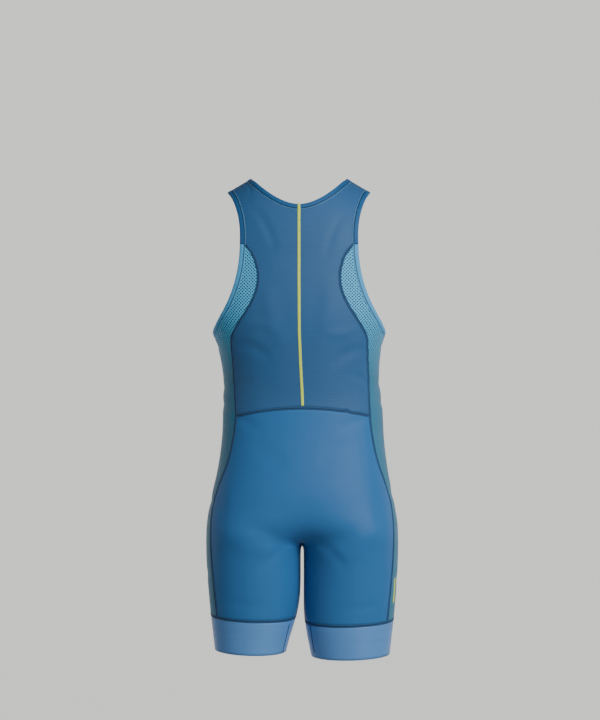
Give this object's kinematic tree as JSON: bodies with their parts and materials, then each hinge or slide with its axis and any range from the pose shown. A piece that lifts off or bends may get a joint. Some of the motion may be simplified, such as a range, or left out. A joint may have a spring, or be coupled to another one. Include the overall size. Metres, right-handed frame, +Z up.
{
  "type": "rowing unisuit",
  "caption": "Sleeveless one-piece rowing suit in stretch cloth, with a blue back, light blue mesh sides, a lime back tape, a deep front neck and satin leg bands, filled out as worn.",
  "frame": {"origin": "midway between the tops of the two shoulder straps, where the wearer's shoulders hold the suit up", "axes": "+Z up, +Y the way the wearer faces, +X the wearer's right"},
  "size_m": [0.3744, 0.2407, 0.9282],
  "materials": {
    "back_knit": "fine ribbed knit, soft sheen",
    "seat_knit": "smooth satin stretch knit",
    "side_mesh": "small-hole stretch mesh",
    "band_satin": "satin gripper band",
    "trim_blue": "matt binding",
    "trim_light": "matt binding",
    "tape_lime": "matt tape"
  },
  "bodies": {
    "root": {"back_panel": "back_knit", "seat_panel": "seat_knit", "front_panel": "seat_knit", "side_panel_right": "side_mesh", "side_panel_left": "side_mesh", "leg_band_right": "band_satin", "leg_band_left": "band_satin", "neck_binding": "trim_blue", "strap_binding_right": "trim_blue", "strap_binding_left": "trim_blue", "underarm_binding_right": "trim_light", "underarm_binding_left": "trim_light", "back_tape": "tape_lime"}
  },
  "joints": []
}
